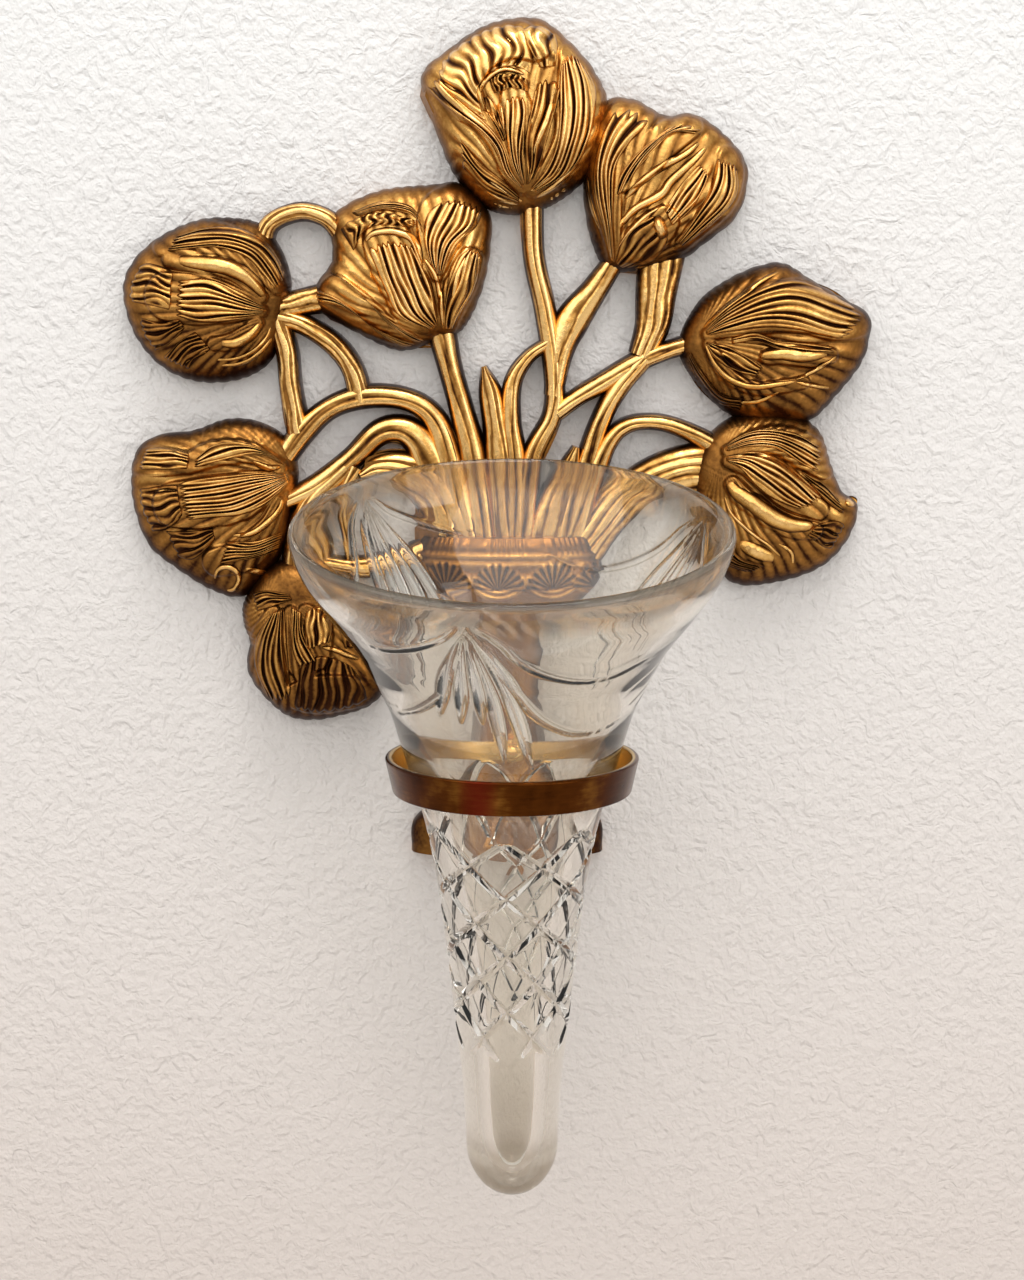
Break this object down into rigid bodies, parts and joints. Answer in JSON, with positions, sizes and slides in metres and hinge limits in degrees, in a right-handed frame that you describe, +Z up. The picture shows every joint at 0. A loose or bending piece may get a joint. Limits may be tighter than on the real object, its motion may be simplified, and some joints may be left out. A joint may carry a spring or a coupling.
{
  "type": "wall mounted flower tube",
  "caption": "Openwork brass tulip plaque for a wall, with a ring on a spacer that holds a leaning, lift-out cut-glass trumpet for flowers.",
  "frame": {"origin": "on the wall face, behind the ring's screw", "axes": "+X right as seen from the front, +Y into the wall, +Z up"},
  "size_m": [0.2259, 0.1337, 0.3583],
  "materials": {
    "cast_brass": "antique",
    "ring_brass": "antique",
    "polished_brass": "polished",
    "clear_glass": "polished",
    "steel": "satin"
  },
  "bodies": {
    "plaque": {"tulip_plaque": "cast_brass", "holder_ring": "ring_brass", "ring_spacer": "polished_brass", "ring_washer": "polished_brass", "ring_screw": "polished_brass", "hanger_strap": "steel", "hanger_screw": "steel"},
    "glass": {"glass_tube": "clear_glass"},
    "hanger": {"hanger_ring": "steel"}
  },
  "joints": [
    {"name": "glass_lift", "type": "slide", "parent": "plaque", "child": "glass", "axis": [0, -0.2351, 0.972], "range_m": [0, 0.165]},
    {"name": "hanger_swing", "type": "hinge", "parent": "plaque", "child": "hanger", "pos_m": [0.00211, -0.00256, 0.19403], "axis": [-1, 0, 0], "range_deg": [0, 135]}
  ]
}
